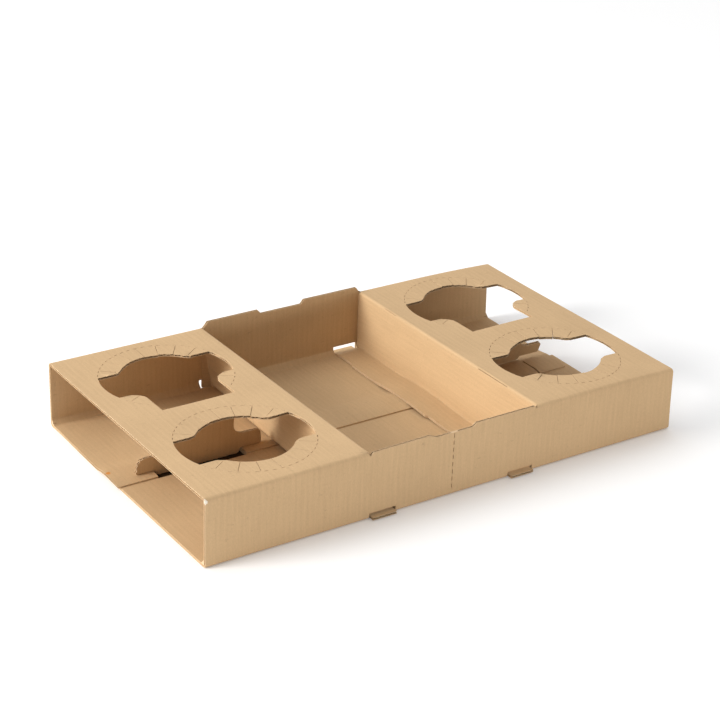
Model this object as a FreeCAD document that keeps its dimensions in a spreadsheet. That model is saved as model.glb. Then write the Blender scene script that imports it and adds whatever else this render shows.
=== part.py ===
import FreeCAD, Part
import Sketcher
import math, os

# Four-place drink carrier: one die-cut sheet of E-flute kraft board, folded to a
# flat sleeve with an open well in its middle and glued along one lap in the base.
# Millimetres. X runs along the sleeve, Y from the front wall to the back wall, Z up.
# The origin is the middle of the footprint on the table.

NODE = "cup_carrier"

doc = FreeCAD.newDocument("carrier")
sheet = doc.addObject("Spreadsheet::Sheet", "Sizes")

SIZES = [
    # alias, value, what it is
    ("boardthk", 1.5, "thickness of the corrugated board"),
    ("sleevelen", 296.0, "length of the sleeve, end to end"),
    ("sleevedep", 173.0, "depth over the front and back walls"),
    ("sleevehei", 38.5, "height of the top panels over the table"),
    ("foldrad", 2.0, "outer radius of the long folds"),
    ("beadsize", 1.9, "flat bead pressed into the inside of the bottom folds"),
    ("lapfront", 2.7, "front edge of the rear base panel, on top of the lap"),
    ("laprear", 20.0, "rear edge of the front base panel, under the lap"),
    ("lapramp", 8.5, "length over which the rear base panel comes down again"),
    ("skew", 1.5, "how far the two base panels are glued out of line"),
    ("welleft", 53.5, "distance of the left well fold from the middle"),
    ("welright", 51.5, "distance of the right well fold from the middle"),
    ("welgap", 0.5, "clearance between the well walls and the front and back walls"),
    ("flangewid", 16.0, "width of the floor flanges of the well walls"),
    ("flangestep", 1.2, "extra width of the middle of a floor flange"),
    ("tabwid", 14.6, "width of the end tabs of the floor flanges"),
    ("tabout", 2.5, "how far the end tabs reach past the walls"),
    ("slothigh", 3.4, "height of the front tab slots in the bottom folds"),
    ("slotback", 6.0, "height of the back tab slots in the bottom folds"),
    ("slotpast", 3.1, "how far the left back tab slot runs past the fold of the wall"),
    ("slotdeep", 6.5, "length of the tab slots along the base"),
    ("holex", 99.6, "distance of the openings from the middle"),
    ("holefront", 41.2, "distance of the front openings from the middle"),
    ("holerear", 42.4, "distance of the rear openings from the middle"),
    ("perfrad", 36.6, "radius of the perforated ring"),
    ("cuprad", 25.4, "radius of the cut opening inside the ring"),
    ("winghalf", 13.9, "half width of the two wings of an opening"),
    ("wingrear", 12.4, "front edge of the wings of a rear opening"),
    ("cornerrad", 8.5, "corner radius where a wing meets the opening"),
    ("trunkhalf", 21.6, "half width of a divider flap at its fold"),
    ("trunkrad", 7.0, "corner radius between a divider flap and its wings"),
    ("hingeoff", 35.0, "distance of the divider fold from the centre of its opening"),
    ("slitwid", 0.6, "width of the cuts between the teeth"),
    ("perfcut", 2.4, "length of one cut of the perforated rings"),
    ("perfwid", 0.4, "width of the cuts of the perforated rings"),
    ("leanleft", 3.0, "lean of the left divider from upright, degrees"),
    ("leanright", 25.0, "lean of the right divider from upright, degrees"),
    ("flapwing", 26.4, "distance of the wings of a divider from its fold"),
    ("flaplen", 35.25, "distance of the foot of a divider from its fold"),
    ("flaphalf", 38.8, "half width of a divider over its wings"),
    ("tongue", 3.0, "length of the tongue under the foot of a divider"),
    ("tonguehalf", 25.6, "half width of that tongue"),
    ("keyhalf", 26.6, "half width of the cut tab in the base under a divider"),
    ("keywid", 1.1, "width of the cuts beside that tab"),
    ("riseback", 3.0, "rise of the back wall in the well over the top panels"),
    ("dipfront", 1.9, "dip of the front wall at the tear line"),
    ("tearx", 1.8, "distance of the tear line from the middle"),
    ("tearcut", 2.6, "length of one cut of the tear line"),
    ("tearpitch", 4.2, "pitch of the tear line"),
    ("tearwid", 0.5, "width of the cuts of the tear line"),
]
for i, (alias, value, what) in enumerate(SIZES):
    sheet.set("A%d" % (i + 1), what)
    sheet.set("B%d" % (i + 1), repr(value))
    sheet.setAlias("B%d" % (i + 1), alias)
doc.recompute()


class Q:
    """A number together with the sheet expression that gives it."""

    def __init__(self, value, text):
        self.value = float(value)
        self.text = text

    def __add__(self, o):
        o = q(o)
        return Q(self.value + o.value, "(%s + %s)" % (self.text, o.text))

    __radd__ = __add__

    def __sub__(self, o):
        o = q(o)
        return Q(self.value - o.value, "(%s - %s)" % (self.text, o.text))

    def __rsub__(self, o):
        return q(o) - self

    def __mul__(self, o):
        o = q(o)
        return Q(self.value * o.value, "(%s * %s)" % (self.text, o.text))

    __rmul__ = __mul__

    def __truediv__(self, o):
        o = q(o)
        return Q(self.value / o.value, "(%s / %s)" % (self.text, o.text))

    def __neg__(self):
        return Q(-self.value, "(-1 * %s)" % self.text)


def q(v):
    return v if isinstance(v, Q) else Q(v, repr(float(v)))


S = {alias: Q(value, "Sizes." + alias) for alias, value, what in SIZES}
T = S["boardthk"]
LEN = S["sleevelen"]
DEP = S["sleevedep"]
HEI = S["sleevehei"]
halfl = LEN / 2
halfd = DEP / 2

body = doc.addObject("PartDesign::Body", "Carrier")
body.Label = NODE
doc.recompute()


def plane(role):
    for f in body.Origin.OriginFeatures:
        if getattr(f, "Role", "") == role:
            return f
    raise RuntimeError("no plane " + role)


def new_sketch(name, role, off=(0, 0, 0), rot=None):
    """A sketch on an origin plane; off is in the axes of that plane."""
    sk = body.newObject("Sketcher::SketchObject", name)
    sk.AttachmentSupport = [(plane(role), "")]
    sk.MapMode = "FlatFace"
    off = [q(v) for v in off]
    r = FreeCAD.Rotation()
    if rot is not None:
        r = FreeCAD.Rotation(FreeCAD.Vector(*rot[0]), rot[1].value)
    sk.AttachmentOffset = FreeCAD.Placement(
        FreeCAD.Vector(*[v.value for v in off]), r)
    for axis, v in zip("xyz", off):
        if v.value != 0:
            sk.setExpression("AttachmentOffset.Base.%s" % axis, v.text)
    if rot is not None:
        sk.setExpression("AttachmentOffset.Rotation.Angle", rot[1].text)
    return sk


def bind(sk, kind, geo, pos, v):
    v = q(v)
    n = sk.addConstraint(Sketcher.Constraint(kind, -1, 1, geo, pos, v.value))
    if "Sizes." in v.text:
        sk.setExpression("Constraints[%d]" % n, v.text)


def poly(sk, pts):
    """Closed polygon, every corner held by the sheet."""
    pts = [(q(a), q(b)) for a, b in pts]
    first = sk.GeometryCount
    n = len(pts)
    for i in range(n):
        a, b = pts[i], pts[(i + 1) % n]
        sk.addGeometry(Part.LineSegment(
            FreeCAD.Vector(a[0].value, a[1].value, 0),
            FreeCAD.Vector(b[0].value, b[1].value, 0)), False)
    for i in range(n):
        sk.addConstraint(Sketcher.Constraint(
            "Coincident", first + i, 2, first + (i + 1) % n, 1))
    for i in range(n):
        bind(sk, "DistanceX", first + i, 1, pts[i][0])
        bind(sk, "DistanceY", first + i, 1, pts[i][1])


REFINE = False   # faces are merged only where a fold is rounded, and at the end


REFINE = False   # faces are merged only where a fold is rounded, and at the end


def bars(sk, items):
    """Narrow rectangles set on rays from the sketch's origin: angle, inner and
    outer distance, half width."""
    for ang, ra, rb, hw in items:
        c = round(math.cos(math.radians(ang)), 9)
        n = round(math.sin(math.radians(ang)), 9)
        ra, rb, hw = q(ra), q(rb), q(hw)
        poly(sk, [(ra * c + hw * n, ra * n - hw * c), (rb * c + hw * n, rb * n - hw * c),
                  (rb * c - hw * n, rb * n + hw * c), (ra * c - hw * n, ra * n + hw * c)])


def pad(sk, length, name, back=False):
    p = body.newObject("PartDesign::Pad", name)
    p.Refine = REFINE
    p.Profile = sk
    p.Length = q(length).value
    if "Sizes." in q(length).text:
        p.setExpression("Length", q(length).text)
    p.Reversed = back
    sk.Visibility = False
    doc.recompute()
    body.Tip = p
    return p


def pocket(sk, length, name, back=False):
    p = body.newObject("PartDesign::Pocket", name)
    p.Refine = REFINE
    p.Profile = sk
    p.Length = q(length).value
    if "Sizes." in q(length).text:
        p.setExpression("Length", q(length).text)
    p.Reversed = back
    sk.Visibility = False
    doc.recompute()
    body.Tip = p
    return p


def volume():
    doc.recompute()
    return body.Shape.Volume


LOG = []


def corner(sk, x, y, s, rad):
    """The sliver outside a rounded corner. The board lies at x + s, below y."""
    e = q(0.4)
    pts = [(x + rad * s, y), (x + rad * s, y + e), (x - e * s, y + e), (x - e * s, y - rad),
           (x, y - rad)]
    first = sk.GeometryCount
    for i in range(4):
        sk.addGeometry(Part.LineSegment(
            FreeCAD.Vector(pts[i][0].value, pts[i][1].value, 0),
            FreeCAD.Vector(pts[i + 1][0].value, pts[i + 1][1].value, 0)), False)
    c = FreeCAD.Vector(pts[0][0].value, y.value - rad.value, 0)
    a0, a1 = (90.0, 180.0) if s > 0 else (0.0, 90.0)
    g = sk.addGeometry(Part.ArcOfCircle(
        Part.Circle(c, FreeCAD.Vector(0, 0, 1), rad.value),
        math.radians(a0), math.radians(a1)), False)
    for i in range(3):
        sk.addConstraint(Sketcher.Constraint("Coincident", first + i, 2, first + i + 1, 1))
    # the arc closes the outline between the last and the first corner
    top_end, side_end = (1, 2) if s > 0 else (2, 1)
    sk.addConstraint(Sketcher.Constraint("Coincident", g, top_end, first, 1))
    sk.addConstraint(Sketcher.Constraint("Coincident", g, side_end, first + 3, 2))
    for i in range(4):
        bind(sk, "DistanceX", first + i, 1, pts[i][0])
        bind(sk, "DistanceY", first + i, 1, pts[i][1])
    bind(sk, "DistanceX", first + 3, 2, pts[4][0])
    bind(sk, "DistanceY", first + 3, 2, pts[4][1])
    n = sk.addConstraint(Sketcher.Constraint("Radius", g, rad.value))
    sk.setExpression("Constraints[%d]" % n, rad.text)


def cut_checked(sk, length, name, back=False):
    """A pocket that must take material away."""
    before = volume()
    p = pocket(sk, length, name, back)
    after = volume()
    LOG.append((name, before - after))
    if before - after < 0.5:
        raise RuntimeError("%s removes nothing (%.3f)" % (name, before - after))
    return p


def edges_where(shape, test):
    names = []
    for i, e in enumerate(shape.Edges):
        if test(e):
            names.append("Edge%d" % (i + 1))
    return names


def along_x(e, y, z, tol=0.02):
    if len(e.Vertexes) != 2:
        return False
    return all(abs(v.Point.y - y) < tol and abs(v.Point.z - z) < tol for v in e.Vertexes) \
        and e.BoundBox.YLength < tol and e.BoundBox.ZLength < tol


def dress(kind, name, names, size):
    tip = body.Tip
    f = body.newObject("PartDesign::" + kind, name)
    f.Base = (tip, names)
    if kind == "Fillet":
        f.Radius = size.value
        f.setExpression("Radius", size.text)
    else:
        f.Size = size.value
        f.setExpression("Size", size.text)
    doc.recompute()
    body.Tip = f
    return f


# ---- 1. the sleeve: front wall, top, back wall and the lapped base --------------
ramp = S["laprear"] + S["lapramp"]
sk = new_sketch("SleeveSection", "YZ_Plane", (0, 0, -halfl))
poly(sk, [(-halfd, 0), (S["laprear"], 0), (S["laprear"], T), (S["laprear"] + 0.8, T),
          (ramp, 0), (halfd, 0), (halfd, HEI), (-halfd, HEI)])
poly(sk, [(-halfd + T, T), (S["lapfront"], T), (S["lapfront"], T * 2),
          (S["laprear"] + 1.2, T * 2), (ramp + 0.4, T),
          (halfd - T, T), (halfd - T, HEI - T), (-halfd + T, HEI - T)])
pad(sk, LEN, "Sleeve")

hd, hh, t = halfd.value, HEI.value, T.value
names = []
for y in (-hd, hd):
    for z in (0.0, hh):
        names += edges_where(body.Shape, lambda e: along_x(e, y, z))
dress("Fillet", "LongFolds", names, S["foldrad"])
names = []
for y in (-hd + t, hd - t):
    names += edges_where(body.Shape, lambda e: along_x(e, y, t))
dress("Chamfer", "FoldBeads", names, S["beadsize"])
names = []
for y in (-hd + t, hd - t):
    names += edges_where(body.Shape, lambda e: along_x(e, y, hh - t))
dress("Fillet", "TopFoldInside", names, T / 3)

# ---- 2. the base panels are glued slightly out of line --------------------------
sk = new_sketch("RearPanelShift", "YZ_Plane", (0, 0, -halfl))
poly(sk, [(S["lapfront"], T), (S["laprear"] + 0.8, T), (ramp, 0), (halfd - 12, 0),
          (halfd - 12, T), (ramp + 0.4, T), (S["laprear"] + 1.2, T * 2),
          (S["lapfront"], T * 2)])
pad(sk, S["skew"], "RearPanelEnd", back=True)
sk = new_sketch("RearPanelTrim", "XY_Plane", (0, 0, T * 3))
poly(sk, [(-halfl - S["skew"] - 1, S["laprear"]), (-halfl - S["skew"], S["laprear"]),
          (-halfl, halfd - 12), (-halfl, halfd), (-halfl - S["skew"] - 1, halfd)])
cut_checked(sk, T * 4, "RearPanelTaper")
sk = new_sketch("FrontPanelShift", "YZ_Plane", (0, 0, halfl))
poly(sk, [(-halfd + 12, 0), (S["laprear"], 0), (S["laprear"], T), (-halfd + 12, T)])
pad(sk, S["skew"], "FrontPanelEnd")
sk = new_sketch("FrontPanelTrim", "XY_Plane", (0, 0, T * 3))
poly(sk, [(halfl + S["skew"] + 1, S["lapfront"] - 20), (halfl + S["skew"] + 1, -halfd),
          (halfl, -halfd), (halfl, -halfd + 12), (halfl + S["skew"], S["lapfront"] - 20)])
cut_checked(sk, T * 4, "FrontPanelTaper")
# right end: the rear panel stops short, the front panel under it shows
sk = new_sketch("RearPanelShort", "XY_Plane", (0, 0, T * 3))
poly(sk, [(halfl - S["skew"] * 1.7, S["lapfront"]), (halfl + S["skew"] + 1, S["lapfront"]),
          (halfl + S["skew"] + 1, S["laprear"]), (halfl - S["skew"] * 1.7, S["laprear"])])
cut_checked(sk, T * 2, "RearPanelStep")
sk = new_sketch("RearPanelSkew", "XY_Plane", (0, 0, T * 3))
poly(sk, [(halfl - S["skew"] * 1.7, S["laprear"]), (halfl + 1, S["laprear"]),
          (halfl + 1, halfd - 12), (halfl, halfd - 12)])
cut_checked(sk, T * 4, "RearPanelSlant")

# ---- 3. the open well ------------------------------------------------------------
sk = new_sketch("WellOpening", "XY_Plane", (0, 0, HEI + 1))
poly(sk, [(-S["welleft"], -halfd - 1), (S["welright"], -halfd - 1),
          (S["welright"], halfd + 1), (-S["welleft"], halfd + 1)])
cut_checked(sk, S["foldrad"] + S["dipfront"] + 1, "WellOpen")
low = HEI - S["foldrad"] - S["dipfront"]
dip = HEI - S["dipfront"]
# top edge of the front wall in the well, dipped at the tear line
sk = new_sketch("FrontWallEdge", "XZ_Plane", (0, 0, halfd))
poly(sk, [(-S["welleft"], low), (S["welright"], low), (S["welright"], HEI - 1.6),
          (S["welright"] - 1.2, HEI), (12.4, HEI), (9.6, dip), (-13.0, dip), (-17.2, HEI),
          (-S["welleft"] + 1.6, HEI - 0.4), (-S["welleft"], HEI - 2.2)])
pad(sk, T, "FrontWallTop", back=True)
# top edge of the back wall in the well, standing over the top panels at both sides
rise = HEI + S["riseback"]
sk = new_sketch("BackWallEdge", "XZ_Plane", (0, 0, -halfd))
poly(sk, [(-S["welleft"], low), (S["welright"], low), (S["welright"], HEI + 0.4),
          (S["welright"] - 1.8, rise), (13.4, rise), (11.4, HEI + 0.5), (-15.4, HEI + 0.5),
          (-17.6, rise), (-S["welleft"] + 3.2, rise), (-S["welleft"], HEI - 0.6)])
pad(sk, T, "BackWallTop")

# ---- 4. well walls with their floor flanges ---------------------------------------
inner = halfd - T - S["welgap"]
zin = T + 0.15          # flange a little over the base
zlap = T * 2 + 0.15     # flange over the lap
under = [(-inner, 0.55), (-inner + 5.5, zin + 0.1), (S["lapfront"] - 24, zin + 0.1),
         (S["lapfront"] - 2, zlap), (S["laprear"] + 2, zlap), (S["laprear"] + 20, zin + 0.1),
         (inner - 5.5, zin + 0.1), (inner, 0.55)]
under = [(q(a), q(b)) for a, b in under]
over = [(a, b + T) for a, b in reversed(under)]
for side, sign, fold in (("Left", -1, S["welleft"]), ("Right", 1, S["welright"])):
    # the wall
    sk = new_sketch(side + "WellWallSketch", "YZ_Plane", (0, 0, fold * sign))
    poly(sk, under + [(inner, HEI), (-inner, HEI)])
    pad(sk, T, side + "WellWall", back=(sign < 0))
    # the flange on the floor
    sk = new_sketch(side + "FlangeSketch", "YZ_Plane", (0, 0, (fold - S["flangewid"]) * sign))
    poly(sk, under + over)
    pad(sk, S["flangewid"] + T, side + "Flange", back=(sign < 0))
    # its middle is a little wider
    mid = [(-12.0, 0), (64.0, 0)]
    ma, mb = q(-12.0), q(64.0)
    sk = new_sketch(side + "FlangeMidSketch", "YZ_Plane", (0, 0, (fold - S["flangewid"]) * sign))
    low_y = S["lapfront"] - 2
    poly(sk, [(ma, zin + 0.55), (low_y, zlap), (S["laprear"] + 2, zlap),
              (S["laprear"] + 20, zin + 0.1), (mb, zin + 0.1), (mb, zin + 0.1 + T),
              (S["laprear"] + 20, zin + 0.1 + T), (S["laprear"] + 2, zlap + T),
              (low_y, zlap + T), (ma, zin + 0.55 + T)])
    pad(sk, S["flangestep"], side + "FlangeMiddle", back=(sign > 0))

# the folds where the top panels turn down into the well are rounded
for side, sign, fold in (("Left", -1, S["welleft"]), ("Right", 1, S["welright"])):
    sk = new_sketch(side + "WellFoldSketch", "XZ_Plane", (0, 0, inner))
    corner(sk, fold * sign, HEI, sign, T)
    cut_checked(sk, inner * 2, side + "WellFold")

# slots in the bottom folds, and the flange tabs through them
for side, sign, fold in (("Left", -1, S["welleft"]), ("Right", 1, S["welright"])):
    for end, ysign in (("Front", -1), ("Back", 1)):
        x0 = (fold - S["flangewid"] - 0.6) * sign
        x1 = (fold - 0.4) * sign
        high = S["slothigh"] if ysign < 0 else S["slotback"]
        if side == "Left" and ysign > 0:
            x1 = (fold - 0.4 + S["slotpast"]) * sign
        y0 = (halfd + 1) * ysign
        y1 = (halfd - T - S["slotdeep"]) * ysign
        sk = new_sketch(side + end + "SlotSketch", "XY_Plane", (0, 0, high))
        poly(sk, [(x0, y0), (x1, y0), (x1, y1), (x0, y1)])
        # only the outer board is cut: the flange goes through afterwards
        cut_checked(sk, high + 1, side + end + "Slot")
for side, sign, fold in (("Left", -1, S["welleft"]), ("Right", 1, S["welright"])):
    # the cut took the flange ends as well, so they are put back as tabs
    a = (fold - S["flangewid"] + 0.2) * sign
    for end, ysign in (("Front", -1), ("Back", 1)):
        sk = new_sketch(side + end + "TabSketch", "YZ_Plane", (0, 0, a))
        e = [(inner - 7.5, zin + 0.1), (inner - 5.5, zin + 0.1), (inner, 0.55),
             (halfd + S["tabout"], 0.35)]
        e = [(q(u) * ysign, q(v)) for u, v in e]
        poly(sk, e + [(u, v + T) for u, v in reversed(e)])
        pad(sk, S["tabwid"], side + end + "Tab", back=(sign < 0))

# ---- 5. the four openings ----------------------------------------------------------
R, r = S["perfrad"], S["cuprad"]


def arc(cx, cy, rad, a0, a1):
    return Part.ArcOfCircle(
        Part.Circle(FreeCAD.Vector(cx, cy, 0), FreeCAD.Vector(0, 0, 1), rad),
        math.radians(a0), math.radians(a1))


def opening(name, hx, hy, rear):
    """Outline in local axes: round middle with a wing to each side.
    A rear opening also loses the piece that is folded down as a divider."""
    sk = new_sketch(name, "XY_Plane", (hx, hy, HEI))
    w, c = S["winghalf"].value, S["cornerrad"].value
    Rv, rv = R.value, r.value
    xf = math.sqrt((rv + c) ** 2 - (w + c) ** 2)
    th = math.degrees(math.atan2(w + c, xf))
    xw = math.sqrt(Rv * Rv - w * w)
    aw = math.degrees(math.asin(w / Rv))
    V = FreeCAD.Vector

    def add(g):
        return sk.addGeometry(g, False)

    def con(*a):
        return sk.addConstraint(Sketcher.Constraint(*a))

    def line(x0, y0, x1, y1):
        return add(Part.LineSegment(V(x0, y0, 0), V(x1, y1, 0)))

    def dist(kind, g, p, v):
        n = con(kind, -1, 1, g, p, v.value)
        sk.setExpression("Constraints[%d]" % n, v.text)

    def radius(g, v):
        n = con("Radius", g, v.value)
        sk.setExpression("Constraints[%d]" % n, v.text)

    # upper half: right wing edge, corner, round edge, corner, left wing edge
    u1 = line(xw, w, xf, w)
    f1 = add(arc(xf, w + c, c, th + 180, 270))
    m1 = add(arc(0, 0, rv, th, 180 - th))
    f2 = add(arc(-xf, w + c, c, 270, 360 - th))
    u2 = line(-xf, w, -xw, w)
    con("Horizontal", u1)
    con("Horizontal", u2)
    con("Coincident", m1, 3, -1, 1)
    radius(m1, r)
    radius(f1, S["cornerrad"])
    radius(f2, S["cornerrad"])
    con("Tangent", u1, 2, f1, 2)
    con("Tangent", f1, 1, m1, 1)
    con("Tangent", m1, 2, f2, 2)
    con("Tangent", f2, 1, u2, 1)
    dist("DistanceY", u1, 1, S["winghalf"])
    dist("DistanceY", u2, 2, S["winghalf"])
    if not rear:
        al = aw
        wl = S["winghalf"]
        ll = line(-xw, -w, -xf, -w)
        g1 = add(arc(-xf, -w - c, c, th, 90))
        n1 = add(arc(0, 0, rv, 180 + th, 360 - th))
        g2 = add(arc(xf, -w - c, c, 90, 180 - th))
        lr = line(xf, -w, xw, -w)
        con("Horizontal", ll)
        con("Horizontal", lr)
        con("Coincident", n1, 3, -1, 1)
        radius(n1, r)
        radius(g1, S["cornerrad"])
        radius(g2, S["cornerrad"])
        con("Tangent", ll, 2, g1, 2)
        con("Tangent", g1, 1, n1, 1)
        con("Tangent", n1, 2, g2, 2)
        con("Tangent", g2, 1, lr, 1)
    else:
        wl = S["wingrear"]
        wv, k, tr, ho = wl.value, S["trunkrad"].value, S["trunkhalf"].value, S["hingeoff"].value
        al = math.degrees(math.asin(wv / Rv))
        xl = math.sqrt(Rv * Rv - wv * wv)
        ll = line(-xl, -wv, -tr - k, -wv)
        g1 = add(arc(-tr - k, -wv - k, k, 0, 90))
        s1 = line(-tr, -wv - k, -tr, -ho)
        hn = line(-tr, -ho, tr, -ho)
        s2 = line(tr, -ho, tr, -wv - k)
        g2 = add(arc(tr + k, -wv - k, k, 90, 180))
        lr = line(tr + k, -wv, xl, -wv)
        for g in (ll, hn, lr):
            con("Horizontal", g)
        for g in (s1, s2):
            con("Vertical", g)
        radius(g1, S["trunkrad"])
        radius(g2, S["trunkrad"])
        con("Tangent", ll, 2, g1, 2)
        con("Tangent", g1, 1, s1, 1)
        con("Coincident", s1, 2, hn, 1)
        con("Coincident", hn, 2, s2, 1)
        con("Tangent", s2, 2, g2, 2)
        con("Tangent", g2, 1, lr, 1)
        dist("DistanceX", s1, 1, -S["trunkhalf"])
        dist("DistanceX", s2, 1, S["trunkhalf"])
        dist("DistanceY", hn, 1, -S["hingeoff"])
    w1 = add(arc(0, 0, Rv, 180 - aw, 180 + al))
    w2 = add(arc(0, 0, Rv, -al, aw))
    con("Coincident", w1, 3, -1, 1)
    con("Coincident", w2, 3, -1, 1)
    radius(w1, R)
    radius(w2, R)
    con("Coincident", u2, 2, w1, 1)
    con("Coincident", w1, 2, ll, 1)
    con("Coincident", lr, 2, w2, 1)
    con("Coincident", w2, 2, u1, 1)
    dist("DistanceY", ll, 1, -wl)
    dist("DistanceY", lr, 2, -wl)
    cut_checked(sk, T * 1.5, name + "Cut")
    return sk


PLACES = (("FrontLeft", -1, -S["holefront"], False), ("FrontRight", 1, -S["holefront"], False),
          ("RearLeft", -1, S["holerear"], True), ("RearRight", 1, S["holerear"], True))
for place, xs, hy, rear in PLACES:
    hx = S["holex"] * xs
    opening(place + "Opening", hx, hy, rear)

# ---- 6. dividers: the cut-outs of the rear openings, folded down --------------------
hinge_y = S["holerear"] - S["hingeoff"]
for side, xs, lean in (("Left", -1, S["leanleft"]), ("Right", 1, S["leanright"])):
    sk = new_sketch(side + "DividerSketch", "XY_Plane", (S["holex"] * xs, hinge_y, HEI),
                    ((1, 0, 0), lean - 90))
    tr, fw, fh, fl = S["trunkhalf"] - 0.3, S["flapwing"], S["flaphalf"], S["flaplen"]
    k = S["trunkrad"] - 1
    tg, th_ = S["tongue"], S["tonguehalf"]
    V = FreeCAD.Vector

    def seg(a, b):
        return sk.addGeometry(Part.LineSegment(V(a[0].value, a[1].value, 0),
                                               V(b[0].value, b[1].value, 0)), False)

    half = [(tr, q(0)), (tr, fw - k), (tr + k, fw), (fh - 2.2, fw + 0.2), (fh - 0.6, fw + 1.8),
            (fh, fl - 1.0), (fh - 0.9, fl), (th_, fl), (th_ - 0.7, fl + tg - 0.6),
            (th_ - 2.0, fl + tg)]
    ring = half + [(-a, b) for a, b in reversed(half)]
    n = len(ring)
    geo = []
    for i in range(n):
        a, b = ring[i], ring[(i + 1) % n]
        if i == 1:
            geo.append(sk.addGeometry(arc((tr + k).value, (fw - k).value, k.value, 90, 180), False))
        elif i == n - 3:
            geo.append(sk.addGeometry(arc(-(tr + k).value, (fw - k).value, k.value, 0, 90), False))
        else:
            geo.append(seg(a, b))
    # ends of each piece of outline, in the order of travel
    def ends(i):
        return (2, 1) if i in (1, n - 3) else (1, 2)
    for i in range(n):
        j = (i + 1) % n
        sk.addConstraint(Sketcher.Constraint("Coincident", geo[i], ends(i)[1], geo[j], ends(j)[0]))
    for i in range(n):
        bind(sk, "DistanceX", geo[i], ends(i)[0], ring[i][0])
        bind(sk, "DistanceY", geo[i], ends(i)[0], ring[i][1])
    for i in (1, n - 3):
        m = sk.addConstraint(Sketcher.Constraint("Radius", geo[i], k.value))
        sk.setExpression("Constraints[%d]" % m, k.text)
    pad(sk, T, side + "Divider", back=True)
    # its fold is rounded
    sk = new_sketch(side + "DividerFoldSketch", "YZ_Plane",
                    (0, 0, S["holex"] * xs - S["trunkhalf"]))
    corner(sk, hinge_y, HEI, -1, S["slitwid"] * 2)
    cut_checked(sk, S["trunkhalf"] * 2, side + "DividerFold", back=True)

# ---- 7. cuts in the base under the dividers -----------------------------------------
key = S["keyhalf"]
# left: the tongue of the divider has opened the slot
sk = new_sketch("LeftKeySketch", "XY_Plane", (-S["holex"], 0, T * 2 + 0.5))
poly(sk, [(-key, S["lapfront"] - 0.6), (key, S["lapfront"] - 0.6), (key, S["lapfront"] + 7.2),
          (-key, S["lapfront"] + 7.2)])
cut_checked(sk, T * 3, "LeftKeyOpen")
for i, s in ((0, -1), (1, 1)):
    sk = new_sketch("LeftKeyCut%d" % i, "XY_Plane", (-S["holex"] + key * s, 0, T * 2 + 0.5))
    h = S["keywid"] / 2
    poly(sk, [(-h, S["lapfront"] + 7), (h, S["lapfront"] + 7), (h, S["laprear"] - 1),
              (-h, S["laprear"] - 1)])
    cut_checked(sk, T * 3, "LeftKeySide%d" % i)
    sk = new_sketch("RightKeyCut%d" % i, "XY_Plane", (S["holex"] + key * s, 0, T * 2 + 0.5))
    poly(sk, [(-h, S["lapfront"] - 0.2), (h, S["lapfront"] - 0.2), (h, S["laprear"] - 1),
              (-h, S["laprear"] - 1)])
    cut_checked(sk, T * 3, "RightKeySide%d" % i)

# ---- 8. knife cuts: teeth, perforated rings and the tear line ------------------------
REFINE = True
knives = []


def knife(name, cx, cy, cz, ang, ra, rb, half, depth):
    """A thin box on the ray at angle ang from (cx, cy), from ra to rb."""
    o = doc.addObject("Part::Box", name)
    ra, rb, half, depth = q(ra), q(rb), q(half), q(depth)
    o.setExpression("Length", (rb - ra).text)
    o.setExpression("Width", (half * 2).text)
    o.setExpression("Height", depth.text)
    rot = FreeCAD.Rotation(FreeCAD.Vector(0, 0, 1), ang)
    base = rot.multVec(FreeCAD.Vector(ra.value, -half.value, 0))
    o.Placement = FreeCAD.Placement(
        FreeCAD.Vector(q(cx).value, q(cy).value, q(cz).value - depth.value / 2) + base, rot)
    knives.append(o)


slit = S["slitwid"] / 2
for place, xs, hy, rear in PLACES:
    hx = S["holex"] * xs
    zc = HEI - T / 2
    teeth = [(36.0 + 18.0 * i, r - 1.5) for i in range(7)]
    ring = [27.0 + 7.0 * i for i in range(19)]
    if rear:
        teeth += [(211.5, r - 0.5), (328.5, r - 0.5)]
        ring += [207.0, 214.0, 221.0, 228.0, 312.0, 319.0, 326.0, 333.0]
    else:
        teeth += [(216.0 + 18.0 * i, r - 1.5) for i in range(7)]
        ring += [207.0 + 7.0 * i for i in range(19)]
    for i, (a, ra) in enumerate(teeth):
        knife("%sTooth%d" % (place, i), hx, hy, zc, a, ra, R - 0.7, slit, T * 2)
    for i, a in enumerate(ring):
        knife("%sRing%d" % (place, i), hx, hy, zc, a, R - S["perfwid"] / 2,
              R + S["perfwid"] / 2, S["perfcut"] / 2, T * 2)
for i in range(8):
    z = S["tearpitch"] * i + 4.0 + S["tearcut"] / 2
    knife("Tear%d" % i, -S["tearx"], 0, z, 270.0, halfd - T * 1.5, halfd + T * 0.5,
          S["tearwid"] / 2, S["tearcut"])
doc.recompute()
cuts = doc.addObject("Part::Compound", "Knives")
cuts.Links = knives
doc.recompute()
whole = doc.addObject("Part::Cut", "CupCarrier")
whole.Base = body
whole.Tool = cuts
whole.Refine = True
whole.Label = NODE
body.Label = "folded_sheet"
whole.Placement = FreeCAD.Placement()
doc.recompute()

bad = []
for o in doc.Objects:
    if "Invalid" in o.State or "Error" in o.State:
        bad.append((o.Name, o.State))
if bad:
    raise RuntimeError("objects not valid: %s" % bad)
shape = whole.Shape
if shape.isNull() or not shape.isValid():
    raise RuntimeError("shape is not valid")
if len(shape.Solids) != 1:
    raise RuntimeError("%d solids" % len(shape.Solids))
print("volume mm3", round(shape.Volume, 1), "before the knife cuts", round(body.Shape.Volume, 1),
      "box", shape.BoundBox, "faces", len(shape.Faces))
for item in LOG:
    print("  %-24s %.2f" % item)

os.makedirs("parts", exist_ok=True)
whole.Shape.Solids[0].exportStep("parts/%s.step" % NODE)
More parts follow.
